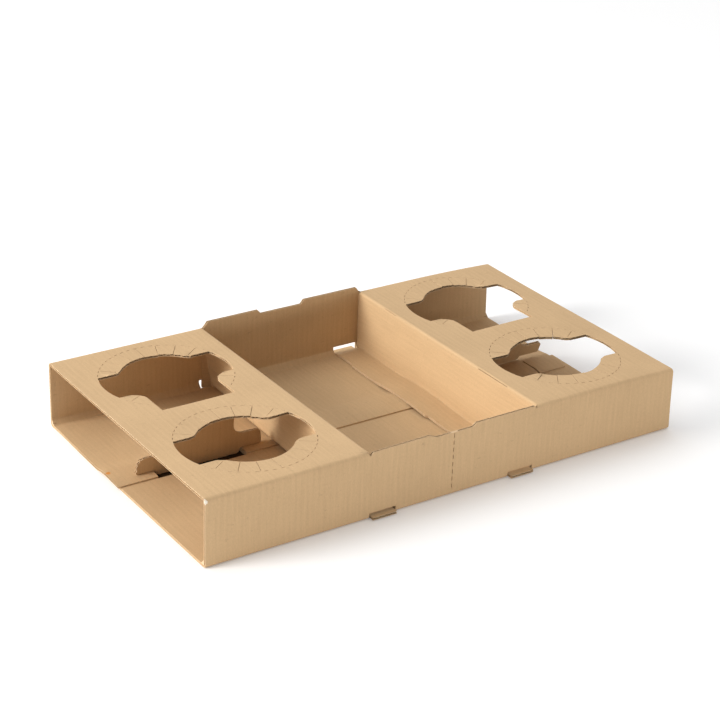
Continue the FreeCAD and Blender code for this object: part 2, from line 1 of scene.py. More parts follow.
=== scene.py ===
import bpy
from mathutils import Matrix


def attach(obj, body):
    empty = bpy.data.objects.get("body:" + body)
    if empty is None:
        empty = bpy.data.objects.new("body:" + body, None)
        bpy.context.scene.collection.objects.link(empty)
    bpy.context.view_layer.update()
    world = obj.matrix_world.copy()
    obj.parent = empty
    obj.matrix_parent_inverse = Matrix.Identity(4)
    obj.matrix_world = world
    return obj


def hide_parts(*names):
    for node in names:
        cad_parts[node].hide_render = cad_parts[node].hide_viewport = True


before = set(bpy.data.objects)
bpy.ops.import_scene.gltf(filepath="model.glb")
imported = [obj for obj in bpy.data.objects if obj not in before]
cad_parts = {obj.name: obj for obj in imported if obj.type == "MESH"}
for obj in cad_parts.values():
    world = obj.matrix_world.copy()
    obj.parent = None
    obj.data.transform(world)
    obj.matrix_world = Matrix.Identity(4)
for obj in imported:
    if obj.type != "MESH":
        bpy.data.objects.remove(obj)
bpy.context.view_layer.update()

import math
import random

import bpy
import numpy as np
from mathutils import Matrix, Vector
from mathutils.geometry import delaunay_2d_cdt

rnd = random.Random(7)

# The carrier is one folded sheet of E-flute board. Lengths are in mm until the mesh is made.
T = 1.5            # board
HEI = 38.5         # top face
LX = 148.0         # half length
PITCH = 3.4336     # one flute
RING, CUP = 36.6, 25.4
WING, WREAR = 13.9, 12.4
HX, HYF, HYR = 99.6, -41.2, 42.4
HINGE = 7.4
LEAN = {-1: 3.0, 1: 25.0}
LINER = 0.25


# ---------------------------------------------------------------- sleeve profile
class Path:
    """Outer face of the sleeve as lines and arcs in (y, z); d goes into the board."""

    def __init__(self):
        self.segs, self.len = [], 0.0

    def line(self, p, q, n):
        ln = math.hypot(q[0] - p[0], q[1] - p[1])
        self.segs.append(("L", self.len, ln, p, q, n))
        self.len += ln

    def arc(self, c, r, a0, a1):
        ln = abs(math.radians(a1 - a0)) * r
        self.segs.append(("A", self.len, ln, c, r, (math.radians(a0), math.radians(a1))))
        self.len += ln

    def at(self, s, d):
        for g in self.segs:
            if s <= g[1] + g[2] or g is self.segs[-1]:
                t = (s - g[1]) / g[2]
                if g[0] == "L":
                    p, q, n = g[3], g[4], g[5]
                    return p[0] + (q[0] - p[0]) * t + n[0] * d, p[1] + (q[1] - p[1]) * t + n[1] * d
                c, r, (a0, a1) = g[3], g[4], g[5]
                t = min(max(t, 0.0), 1.0)
                a = a0 + (a1 - a0) * t
                return c[0] + (r - d) * math.cos(a), c[1] + (r - d) * math.sin(a)


sl = Path()
sl.line((20.0, 0.0), (-84.5, 0.0), (0, 1))
sl.arc((-84.5, 2.0), 2.0, 270, 180)
sl.line((-86.5, 2.0), (-86.5, 36.5), (1, 0))
sl.arc((-84.5, 36.5), 2.0, 180, 90)
sl.line((-84.5, HEI), (84.5, HEI), (0, -1))
sl.arc((84.5, 36.5), 2.0, 90, 0)
sl.line((86.5, 36.5), (86.5, 2.0), (-1, 0))
sl.arc((84.5, 2.0), 2.0, 0, -90)
sl.line((84.5, 0.02), (28.5, 0.02), (0, 1))
sl.line((28.5, 0.02), (20.9, 1.52), (0, 1))
sl.line((20.9, 1.52), (2.7, 1.52), (0, 1))
S0 = [g[1] for g in sl.segs]
S_FW, S_TF, S_TOP, S_TR, S_BW = S0[2], S0[3], S0[4], S0[5], S0[6]
S_RB = S0[8]


def s_top(y):
    return S_TOP + y + 84.5


def s_fbase(y):
    return 20.0 - y


def s_rbase(y):
    if y >= 28.5:
        return S_RB + 84.5 - y
    if y >= 20.9:
        return S0[9] + (28.5 - y) / 7.6 * (S0[10] - S0[9])
    return S0[10] + 20.9 - y


XL, XR = -53.5, 51.5      # faces of the well


def warp(x, y):
    """Slight waves of the top panels; they die out at every fold."""
    if XL - 1.5 < x < XR + 1.5:
        return 0.0
    x0, x1 = ((XR + 1.5, LX) if x > 0 else (-LX, XL - 1.5))
    t = (x - x0) / (x1 - x0)
    t = min(max(t, 0.0), 1.0)
    v = min(max((y + 84.5) / 169.0, 0.0), 1.0)
    edge = math.sin(math.pi * v) ** 0.6 * math.sin(math.pi * 0.5 * min(1.0, (t if x > 0 else 1 - t) * 3.0))
    side = 1 if x > 0 else -1
    return edge * (0.30 * math.sin(0.055 * x + 0.031 * y + 0.6) * side - 0.28 * math.sin(math.pi * v))


def sag(x):
    """The open right end droops a little."""
    return 1.35 * ((x - 90.0) / 58.0) ** 2 if x > 90.0 else 0.0


tilts = {}


def tooth(x, y, cx, cy, rear):
    """How far the teeth round an opening hang below the panel."""
    dx, dy = x - cx, y - cy
    rr = math.hypot(dx, dy)
    if rr >= RING - 0.05 or rr < 8:
        return 0.0
    if dy > 0 and dy < WING + 0.2:
        return 0.0
    if dy <= 0 and (rear or dy > -WING - 0.2):
        if not rear:
            return 0.0
        if dy > -WREAR - 0.2:
            return 0.0
    a = math.degrees(math.atan2(dy, dx)) % 360.0
    k = (int(cx), int(cy), int((a + 18.0) // 18.0) if a < 180 else int((a - 18.0) // 18.0) + 40)
    if k not in tilts:
        h = (math.sin(k[0] * 12.9 + k[1] * 78.2 + k[2] * 37.7) * 43758.5) % 1.0
        tilts[k] = 0.010 + 0.045 * h * h
    return (RING - rr) * tilts[k]


def sleeve(p, d):
    x, s = p
    zoff = 0.0
    if XL - 1e-6 <= x <= XR + 1e-6 and S_FW + 34.5 < s < S_TOP + 1.0:
        y, z = -86.5 + d, 36.5 + (s - S_FW - 34.5)
    elif XL - 1e-6 <= x <= XR + 1e-6 and S_BW - 6.0 < s < S_BW:
        y, z = 86.5 - d, 36.5 + (S_BW - s)
    else:
        if s > s_rbase(8.0):
            d *= 0.5 + 0.5 * min(1.0, max(0.0, (s_rbase(2.7) - s) / 5.3))
        y, z = sl.at(s, d)
        if S_TOP < s < S_TR:
            zoff = warp(x, y)
            for cy, rear in ((HYF, False), (HYR, True)):
                zoff -= tooth(x, y, math.copysign(HX, x), cy, rear)
    if d > 1.3 and z < 6.0 and abs(y) > 80.0:
        a, b = 86.5 - abs(y), z
        m = 2.7 - (a - T) - (b - T)
        if m > 0:
            y -= math.copysign(m / 2, y)
            z += m / 2
    if S_FW < s < S_TF + 3.2 and abs(x) < LX + 1:      # the front wall bows by a hair
        y += 0.22 * math.sin(math.pi * min(max(z / HEI, 0), 1)) * (0.5 + 0.5 * math.sin(0.043 * x + 1.0))
    if x > 90.0 and z > 2.0:
        k = min(1.0, (z - 2.0) / 36.5)
        zoff -= sag(x) * k
        x -= 1.1 * ((x - 90.0) / 58.0) ** 2 * k
    return x, y, z + zoff


# ---------------------------------------------------------------- well walls and flanges
def lerp_table(tab, v):
    if v <= tab[0][0]:
        return tab[0][1]
    for (a, fa), (b, fb) in zip(tab, tab[1:]):
        if v <= b:
            return fa + (fb - fa) * (v - a) / (b - a)
    return tab[-1][1]


FLOOR = [(-89.0, .35), (-84.6, .40), (-84.5, .55), (-79, 1.75), (-21.3, 1.75), (0.7, 3.15), (22, 3.15),
         (40, 1.75), (79, 1.75), (84.5, .55), (84.6, .40), (89.0, .35)]
QF = 1.5 * math.pi / 2          # fold at the top
QW = QF + 33.75                 # wall
QB = QW + 0.8                   # fold at the bottom


def well_map(side):
    face = XR if side > 0 else XL

    def m(p, d):
        q, y = p
        zf = lerp_table(FLOOR, y) + 0.03 + T
        if q <= QF:
            a = math.pi / 2 + q / 1.5
            x = 1.5 + (1.5 - d) * math.cos(a)
            z = 37.0 + (1.5 - d) * math.sin(a)
        elif q <= QW:
            zt, zb = 37.0, zf + 0.5
            t = (q - QF) / (QW - QF)
            x, z = d, zt + (zb - zt) * t
            x -= 0.25 * math.sin(math.pi * t) * math.sin(0.021 * y + 0.9)
        elif q <= QB:
            a = (q - QW) / (QB - QW) * math.pi / 2
            x = -0.5 + (0.5 + d) * math.cos(a)
            z = zf + 0.5 - (0.5 + d) * math.sin(a)
        else:
            x, z = -0.5 - (q - QB), zf - d
        if side < 0 and y > 15.0:
            g = min(1.0, (y - 15.0) / 62.0)
            t = min(1.0, max(0.0, (q - QF) / (QW - QF)))
            if q > QB:
                t = max(0.0, 1.0 - (q - QB) / 13.0)
            x -= 5.6 * g * g * (3 - 2 * g) * t * (1.0 if y < 84.6 else 0.0)
        return face + x * side, y, z

    return m


# ---------------------------------------------------------------- dividers
def divider_map(side):
    f = math.radians(LEAN[side])
    turn = math.pi / 2 - f
    r = 1.2
    tl = r * math.tan(turn / 2)
    la = r * turn
    cx = HX * side
    cy, cz = HINGE - tl, HEI - r

    def m(p, d):
        u, v = p
        bow = 0.35 * math.sin(0.09 * u + side) * min(1.0, max(0.0, v / 30.0))
        if v <= la:
            a = math.pi / 2 - v / r
            y, z = cy + (r - d) * math.cos(a), cz + (r - d) * math.sin(a)
        else:
            t = v - la + tl
            y = HINGE + t * math.sin(f) - d * math.cos(f)
            z = HEI - t * math.cos(f) - d * math.sin(f)
        if z < 6:
            bow *= max(0.0, (z - 1.0) / 5.0)
        keep = max(0.0, 1.0 - v / 30.0)
        return cx + u, y + bow, z + (warp(cx + u, HINGE - tl) - sag(cx + u)) * keep

    return m, tl


# ---------------------------------------------------------------- outlines
def arc_pts(cx, cy, r, a0, a1, step=4.0):
    n = max(2, int(math.ceil(abs(a1 - a0) / step)))
    return [(cx + r * math.cos(math.radians(a0 + (a1 - a0) * i / n)),
             cy + r * math.sin(math.radians(a0 + (a1 - a0) * i / n))) for i in range(n + 1)]


def toothed(a0, a1, slits):
    """Cut edge from a0 to a1 with a slit at each angle in between."""
    out, hw = [], 0.13
    cur = a0
    for a in slits:
        di, do = math.degrees(hw / CUP), math.degrees(hw / 35.9)
        j = math.radians(a)
        out += arc_pts(0, 0, CUP, cur, a - di, 3.0)
        out += arc_pts(0, 0, 35.9, a - do, a + do, 3.0)
        cur = a + di
    out += arc_pts(0, 0, CUP, cur, a1, 3.0)
    return out


def opening(rear, tl):
    w, c = WING, 8.5
    xf = math.sqrt((CUP + c) ** 2 - (w + c) ** 2)
    th = math.degrees(math.atan2(w + c, xf))
    xw = math.sqrt(RING ** 2 - w * w)
    aw = math.degrees(math.asin(w / RING))
    up = [54 + 18 * i for i in range(5)]
    o = [(xw, w)] + arc_pts(xf, w + c, c, 270, th + 180, 12) + toothed(th, 180 - th, up)
    o += arc_pts(-xf, w + c, c, 360 - th, 270, 12) + [(-xw, w)]
    if not rear:
        o += arc_pts(0, 0, RING, 180 - aw, 180 + aw, 3.0)[1:-1]
        lo = [234 + 18 * i for i in range(5)]
        o += [(-xw, -w)] + arc_pts(-xf, -w - c, c, 90, th, 12) + toothed(180 + th, 360 - th, lo)
        o += arc_pts(xf, -w - c, c, 180 - th, 90, 12) + [(xw, -w)]
        o += arc_pts(0, 0, RING, 360 - aw, 360 + aw, 3.0)[1:-1]
    else:
        al = math.degrees(math.asin(WREAR / RING))
        xl = math.sqrt(RING ** 2 - WREAR ** 2)
        k, tr, ho = 7.0, 21.6, 35.0
        o += arc_pts(0, 0, RING, 180 - aw, 180 + al, 3.0)[1:-1]
        o += [(-xl, -WREAR), ] + arc_pts(-tr - k, -WREAR - k, k, 90, 0, 10)
        o += [(-tr, -ho - tl), (tr, -ho - tl)]
        o += arc_pts(tr + k, -WREAR - k, k, 180, 90, 10) + [(xl, -WREAR)]
        o += arc_pts(0, 0, RING, 360 - al, 360 + aw, 3.0)[1:-1]
    out = [o[0]]
    for p in o[1:]:
        if math.hypot(p[0] - out[-1][0], p[1] - out[-1][1]) > 0.02:
            out.append(p)
    return out


def rect(x0, x1, y0, y1):
    return [(x0, y0), (x1, y0), (x1, y1), (x0, y1)]


def slit(cx, cy, a, r0):
    t = math.radians(a)
    er, et = (math.cos(t), math.sin(t)), (-math.sin(t), math.cos(t))
    return [(cx + er[0] * i + et[0] * j, cy + er[1] * i + et[1] * j)
            for i, j in ((r0, -.13), (35.9, -.13), (35.9, .13), (r0, .13))]


def dash(cx, cy, a):
    t = math.radians(a)
    er, et = (math.cos(t), math.sin(t)), (-math.sin(t), math.cos(t))
    return [(cx + er[0] * (RING + i) + et[0] * j, cy + er[1] * (RING + i) + et[1] * j)
            for i, j in ((-.16, -1.1), (.16, -1.1), (.16, 1.1), (-.16, 1.1))]


def inside(pts, loops):
    x, y = pts[:, 0], pts[:, 1]
    c = np.zeros(len(pts), dtype=bool)
    for lp in loops:
        a = np.array(lp)
        b = np.roll(a, -1, axis=0)
        for (x0, y0), (x1, y1) in zip(a, b):
            if y0 == y1:
                continue
            hit = ((y0 > y) != (y1 > y))
            hit &= x < (x1 - x0) * (y - y0) / (y1 - y0) + x0
            c ^= hit
    return c


# ---------------------------------------------------------------- mesh
VERTS, FACES, MATS, UVS, SMOOTH = [], [], [], [], []


def add_vert(co, uv):
    VERTS.append((co[0] * 1e-3, co[1] * 1e-3, co[2] * 1e-3))
    UVS.append(uv)
    return len(VERTS) - 1


def wave(w):
    return 0.75 + 0.47 * math.sin(2 * math.pi * w / PITCH)


def build(loops, rows, grid, fmap, narrow=None, flip=False, cutmat=1):
    """Two liners over the outline, and along every cut edge the liner rims and the fluted layer."""
    verts, edges, key = [], [], {}

    def vid(p):
        k = (round(p[0], 4), round(p[1], 4))
        if k not in key:
            key[k] = len(verts)
            verts.append(Vector(p))
        return key[k]

    def chain(pts, closed):
        ids = [vid(p) for p in pts]
        n = len(ids)
        for i in range(n if closed else n - 1):
            a, b = ids[i], ids[(i + 1) % n]
            if a != b:
                edges.append((a, b))

    for lp in loops:
        fine = []
        n = len(lp)
        for i in range(n):
            a, b = lp[i], lp[(i + 1) % n]
            ln = math.hypot(b[0] - a[0], b[1] - a[1])
            m = max(1, int(round(ln / 5.0)))
            fine += [(a[0] + (b[0] - a[0]) * j / m, a[1] + (b[1] - a[1]) * j / m) for j in range(m)]
        chain(fine, True)
    for rw in rows:
        chain(rw, False)
    gp = np.array([g for g in grid])
    ok = inside(gp, loops)
    for g, k in zip(grid, ok):
        if k:
            vid(g)
    v2, e2, f2, _, _, _ = delaunay_2d_cdt(verts, edges, [], 0, 1e-5, False)
    P = np.array([(v[0], v[1]) for v in v2])
    F = np.array([tuple(f) for f in f2])
    cen = P[F].mean(axis=1)
    F = F[inside(cen, loops)]
    area = (P[F[:, 1], 0] - P[F[:, 0], 0]) * (P[F[:, 2], 1] - P[F[:, 0], 1]) \
        - (P[F[:, 2], 0] - P[F[:, 0], 0]) * (P[F[:, 1], 1] - P[F[:, 0], 1])
    F = F[np.abs(area) > 1e-7]
    used = sorted(set(F.ravel().tolist()))
    top, bot = {}, {}
    for i in used:
        p = (float(P[i, 0]), float(P[i, 1]))
        top[i] = add_vert(fmap(p, 0.0), p)
        bot[i] = add_vert(fmap(p, T), p)
    count = {}
    for a, b, c in F.tolist():
        f = (a, b, c) if not flip else (a, c, b)
        FACES.append(tuple(top[i] for i in f))
        FACES.append(tuple(bot[i] for i in reversed(f)))
        MATS.extend((0, 0))
        SMOOTH.extend((True, True))
        for e in ((a, b), (b, c), (c, a)):
            k = (min(e), max(e))
            count.setdefault(k, []).append((a, b, c))
    for (a, b), tris in count.items():
        if len(tris) != 1:
            continue
        pa, pb = P[a], P[b]
        third = P[[i for i in tris[0] if i not in (a, b)][0]]
        ln = float(np.hypot(*(pb - pa)))
        if ln < 1e-6:
            continue
        n = np.array((-(pb - pa)[1], (pb - pa)[0])) / ln
        if np.dot(third - pa, n) < 0:
            n = -n
        thin = narrow is not None and narrow((pa + pb) / 2, (pb - pa) / ln)
        m = 1 if thin else max(1, int(math.ceil(abs(pb[0] - pa[0]) / 0.5)), int(round(ln / 6.0)))
        prev = None
        deep = 1.2
        for i in range(m + 1):
            p = pa + (pb - pa) * i / m
            q = p + n * deep
            p, q = (float(p[0]), float(p[1])), (float(q[0]), float(q[1]))
            if thin:
                cur = [add_vert(fmap(p, 0.0), p), add_vert(fmap(p, T), p)]
            else:
                w0 = wave(p[0])
                h = ((p[0] + q[0]) / 2, (p[1] + q[1]) / 2)
                cur = [add_vert(fmap(p, 0.0), p), add_vert(fmap(p, LINER), p),
                       add_vert(fmap(p, T - LINER), p), add_vert(fmap(p, T), p),
                       add_vert(fmap(p, w0 - 0.1), p), add_vert(fmap(p, w0 + 0.1), p),
                       add_vert(fmap(h, wave(h[0]) - 0.1), h), add_vert(fmap(h, wave(h[0]) + 0.1), h),
                       add_vert(fmap(q, wave(q[0]) - 0.1), q), add_vert(fmap(q, wave(q[0]) + 0.1), q),
                       add_vert(fmap(q, LINER), q), add_vert(fmap(q, T - LINER), q)]
            if prev is not None:
                if thin:
                    quads = [(0, 1, 1)]
                else:
                    quads = [(0, 1, cutmat), (2, 3, cutmat), (4, 5, cutmat), (4, 6, 2), (5, 7, 2), (6, 8, 2), (7, 9, 2),
                             (1, 10, 2), (2, 11, 2)]
                for u, v, mt in quads:
                    FACES.append((prev[u], prev[v], cur[v], cur[u]))
                    MATS.append(mt)
                    SMOOTH.append(False)
            prev = cur


def grid_pts(x0, x1, y0, y1, dx, dy):
    nx, ny = max(1, int(round((x1 - x0) / dx))), max(1, int(round((y1 - y0) / dy)))
    return [(x0 + (x1 - x0) * (i + (0.25 if j % 2 else -0.25)) / nx, y0 + (y1 - y0) * j / ny)
            for i in range(1, nx) for j in range(1, ny)]


def row(x0, x1, s, step=4.0):
    n = max(1, int(round((x1 - x0) / step)))
    return [(x0 + (x1 - x0) * i / n, s) for i in range(n + 1)]


# sleeve
tl = {k: divider_map(k)[1] for k in (-1, 1)}
right = [(149.5, 0.0), (148.0, s_fbase(-74.5)), (148.0, s_rbase(74.5)), (145.45, s_rbase(20.0)), (145.45, s_rbase(2.7))]
left = [(-149.5, s_rbase(2.7)), (-148.0, s_rbase(74.5)), (-148.0, 0.0)]
# the left base slot and its side cuts open into the free edge of the rear base panel
slot0, slot1 = -HX - 26.6, -HX + 26.6
rear_edge = [(slot1, s_rbase(2.7)), (slot1, s_rbase(19.0)), (slot1 - 1.1, s_rbase(19.0)), (slot1 - 1.1, s_rbase(9.9)),
             (slot0 + 1.1, s_rbase(9.9)), (slot0 + 1.1, s_rbase(19.0)), (slot0, s_rbase(19.0)), (slot0, s_rbase(2.7))]
outer = right[:5] + [(HX + 27.15, s_rbase(2.7)), (HX + 27.15, s_rbase(19.0)), (HX + 26.05, s_rbase(19.0)),
                     (HX + 26.05, s_rbase(2.7)), (HX - 26.05, s_rbase(2.7)), (HX - 26.05, s_rbase(19.0)),
                     (HX - 27.15, s_rbase(19.0)), (HX - 27.15, s_rbase(2.7))] + rear_edge + left
fw = [(-53.5, 36.3), (-51.9, 38.1), (-17.2, 38.5), (-13.0, 36.6), (9.6, 36.6), (12.4, 38.5), (50.3, 38.5), (51.5, 36.9)]
bw = [(-53.5, 37.9), (-50.3, 41.5), (-17.6, 41.5), (-15.4, 39.0), (11.4, 39.0), (13.4, 41.5), (49.7, 41.5), (51.5, 38.9)]
well = [(x, S_FW + z - 2.0) for x, z in fw] + [(XR + 1.5, S_TOP), (XR + 1.5, S_TR)]
well += [(x, S_BW - (z - 36.5)) for x, z in reversed(bw)] + [(XL - 1.5, S_TR), (XL - 1.5, S_TOP)]
loops = [outer, well]
ringrows = []
for side in (-1, 1):
    for cy, rear in ((HYF, False), (HYR, True)):
        cx = HX * side
        lp = opening(rear, tl[side] + (HYR - 35.0 - HINGE))
        loops.append([(cx + x, s_top(cy + y)) for x, y in lp])
        angs = [27 + 7 * i for i in range(19)]
        angs += [207, 214, 221, 228, 312, 319, 326, 333] if rear else [207 + 7 * i for i in range(19)]
        for a in angs:
            loops.append([(x, s_top(y)) for x, y in dash(cx, cy, a)])
        for a in ((36, 144, 211.5, 328.5) if rear else (36, 144, 216, 324)):
            loops.append([(x, s_top(y)) for x, y in slit(cx, cy, a, 28.2 if a in (211.5, 328.5) else 27.2)])
        spans = [(24, 156)] + ([(201, 231), (309, 339)] if rear else [(204, 336)])
        for a0, a1 in spans:
            for rr in (RING - 0.25, 31.0):
                ringrows.append([(x, s_top(y)) for x, y in arc_pts(cx, cy, rr, a0, a1, 3.0)])
for a, b in ((34.9, 51.1), (-53.1, -36.9)):
    loops.append(rect(a, b, s_fbase(-78.5), S_FW + 1.4))
    loops.append(rect(a - (3.1 if a < 0 else 0.0), b, S_BW + 30.5, s_rbase(83.4)))
loops.append([(slot0, s_fbase(2.1)), (slot0, s_fbase(19.0)), (slot0 + 1.1, s_fbase(19.0)), (slot0 + 1.1, s_fbase(9.9)),
              (slot1 - 1.1, s_fbase(9.9)), (slot1 - 1.1, s_fbase(19.0)), (slot1, s_fbase(19.0)), (slot1, s_fbase(2.1))])
for a in (HX - 26.6, HX + 26.6):
    loops.append(rect(a - .55, a + .55, s_fbase(2.5), s_fbase(19.0)))
for i in range(8):
    loops.append(rect(-2.05, -1.55, S_FW + 2.0 + 4.2 * i, S_FW + 4.6 + 4.2 * i))
rows = []
for g in sl.segs:
    if g[0] == "A":
        for t in (0.0, 0.2, 0.4, 0.6, 0.8, 1.0):
            for a, b in ((-148.0, XL - 1.5), (XR + 1.5, 148.0)) if 30 < g[3][1] else ((-148.0, 148.0),):
                rows.append(row(a, b, g[1] + g[2] * t))
for s in (s_rbase(28.5), s_rbase(20.9)):
    rows.append(row(-148.0, 145.0, s))
for s in (S_FW + 1.0, S_FW + 2.2, S_BW + 31.8, s_rbase(81.8), s_fbase(-81.8), S_FW + 34.5, S_BW, S_BW + 32.5, S_BW + 33.4, s_fbase(-83.6), s_fbase(-82.6), s_rbase(83.6), s_rbase(82.6)):
    rows.append(row(-148.0, 148.0, s))
rows += ringrows
grid = grid_pts(-149.0, 149.0, 0.0, sl.len, 6.0, 6.0)


def slit_edge(mid, dr):
    for side in (-1, 1):
        for cy in (HYF, HYR):
            dx, dy = mid[0] - HX * side, mid[1] - s_top(cy)
            r = math.hypot(dx, dy)
            if abs(r - RING) < 0.6 and abs(dy) > WING + 0.3:
                return True
            if 25.6 < r < 36.2 and abs(dy) > WING + 0.5 and (abs(dy) > 18.5 or abs(dx) < 28.5 or r > 27) and abs(dx * dr[0] + dy * dr[1]) / r > 0.93:
                return True
            if 35.5 < r < 36.1 and abs(dy) > WING + 0.5:
                return True
    if mid[1] > s_rbase(3.5) or mid[1] < 0.5:
        return True
    return abs(mid[0] + 1.8) < 0.4 and S_FW < mid[1] < S_FW + 36


build(loops, rows, grid, sleeve, narrow=slit_edge)

# well walls, each with its flange and the two tabs of the flange
for side in (1, -1):
    w0, w1 = (QB + 15.5, QB + 16.7) if side > 0 else (QB + 15.5, QB + 16.7)
    tab0, tab1 = QB + 0.7, QB + 15.3
    o = [(0.0, -84.5), (0.9, -85.3), (QF, -85.6), (QF + 3.0, -85.0), (QB, -84.6), (QB + 0.2, -84.9), (tab0, -84.9), (tab0, -89.0), (tab1, -89.0), (tab1, -84.9), (w0, -84.5),
         (w0, -12.6), (w1, -11.4), (w1, 63.4), (w0, 64.6), (w0, 84.5), (tab1, 84.9), (tab1, 89.0), (tab0, 89.0),
         (tab0, 84.9), (QB + 0.2, 84.9), (QB, 84.6), (QF + 3.0, 85.0), (QF, 85.6), (0.9, 85.3), (0.0, 84.5)]
    lps = [o]
    if side > 0:
        lps += [rect(0.95, 1.3, 46.0, 58.0), rect(1.1, 1.45, -60.0, -34.0)]
    rws = []
    for q in [QF * i / 5 for i in range(1, 6)] + [QW + (QB - QW) * i / 4 for i in range(5)]:
        rws.append([(q, -84.5 + 169.0 * i / 40) for i in range(41)])
    for y in (-84.5, -79, -21.3, 0.7, 22, 40, 79, 84.5):
        rws.append([(QF + (QB + 15.4 - QF) * i / 10, y) for i in range(11)])
    build(lps, rws, grid_pts(0.0, QB + 16, -89, 89, 5.0, 7.0), well_map(side), flip=True,
          narrow=lambda mid, dr: (mid[0] < 1.6 and abs(mid[1]) < 80 and mid[0] > 0.5) or (mid[0] > QB + 15 and abs(mid[1]) < 84.6))

# dividers
half = [(21.3, 0.0), (21.3, 20.4)] + arc_pts(27.3, 20.4, 6.0, 180, 90, 12)[1:-1] + \
    [(27.3, 26.4), (36.6, 26.6), (38.2, 28.2), (38.8, 34.25), (37.9, 35.25), (25.6, 35.25), (24.9, 37.65), (23.6, 38.25)]
for side in (-1, 1):
    fm, t_l = divider_map(side)
    la = 1.2 * (math.pi / 2 - math.radians(LEAN[side]))
    shift = la - 2 * t_l
    hr = [(u, max(0.0, v + (la - t_l if v > 0 else 0.0))) for u, v in half]
    hl = [(-u, v) for u, v in hr]
    if side < 0:   # torn end of the left wing
        k = la - t_l
        hl = [p for p in hl if not p[0] < -36.0]
        i = [n for n, p in enumerate(hl) if abs(p[0] + 27.3) < 0.01 and abs(p[1] - 26.4 - k) < 0.01][0]
        torn = [(-32.6, 26.5), (-33.9, 27.2), (-34.3, 26.9), (-34.9, 28.3), (-36.1, 28.9), (-35.8, 30.1), (-36.7, 31.0), (-36.3, 32.6),
                (-37.0, 34.0), (-36.6, 35.2)]
        hl[i + 1:i + 1] = [(u, v + k) for u, v in torn]
    o = hr + list(reversed(hl))
    rws = [[(-21.3 + 42.6 * i / 12, la * t) for i in range(13)] for t in (0.2, 0.4, 0.6, 0.8, 1.0)]
    build([o], rws, grid_pts(-38, 38, 0, 38, 5.0, 5.0), fm,
          narrow=lambda mid, dr: mid[1] < 0.01)

mesh = bpy.data.meshes.new("carrier_sheet")
mesh.from_pydata(VERTS, [], FACES)
mesh.polygons.foreach_set("material_index", MATS)
mesh.polygons.foreach_set("use_smooth", SMOOTH)
uv = mesh.uv_layers.new(name="flat")
loop_v = np.zeros(len(mesh.loops), dtype=np.int32)
mesh.loops.foreach_get("vertex_index", loop_v)
uv.data.foreach_set("uv", (np.array(UVS) * 1e-3)[loop_v].ravel())
mesh.update()
sheet = bpy.data.objects.new("carrier_sheet", mesh)
bpy.context.scene.collection.objects.link(sheet)


# ---------------------------------------------------------------- materials
class Mat:
    def __init__(self, name):
        self.m = bpy.data.materials.new(name)
        self.m.use_nodes = True
        self.t = self.m.node_tree
        self.b = self.t.nodes["Principled BSDF"]

    def node(self, kind, **kw):
        n = self.t.nodes.new(kind)
        for k, v in kw.items():
            setattr(n, k, v)
        return n

    def link(self, a, b):
        self.t.links.new(a, b)

    def math(self, op, a, b=None):
        n = self.node("ShaderNodeMath", operation=op)
        for i, v in enumerate((a, b)):
            if v is None:
                continue
            if isinstance(v, (int, float)):
                n.inputs[i].default_value = v
            else:
                self.link(v, n.inputs[i])
        return n.outputs[0]

    def noise(self, vec, scale, detail=3.0, rough=0.55):
        n = self.node("ShaderNodeTexNoise")
        n.inputs["Scale"].default_value = scale
        n.inputs["Detail"].default_value = detail
        n.inputs["Roughness"].default_value = rough
        self.link(vec, n.inputs["Vector"])
        return n.outputs["Fac"]

    def stretch(self, vec, x, y, z=1.0):
        n = self.node("ShaderNodeMapping")
        n.inputs["Scale"].default_value = (x, y, z)
        self.link(vec, n.inputs["Vector"])
        return n.outputs[0]

    def mix(self, fac, a, b, blend="MIX"):
        n = self.node("ShaderNodeMix", data_type="RGBA", blend_type=blend)
        for s, v in ((n.inputs[0], fac), (n.inputs[6], a), (n.inputs[7], b)):
            if isinstance(v, (int, float)):
                s.default_value = v
            elif isinstance(v, tuple):
                s.default_value = (*v, 1.0)
            else:
                self.link(v, s)
        return n.outputs[2]


# a scuffed corner and a spot of glue: place in metres, radius, colour
marks = [((-0.1478, -0.0862, 0.0368), 0.0016, (0.86, 0.78, 0.66)),
         ((-0.1478, 0.0175, 0.0030), 0.0016, (0.62, 0.25, 0.05))]


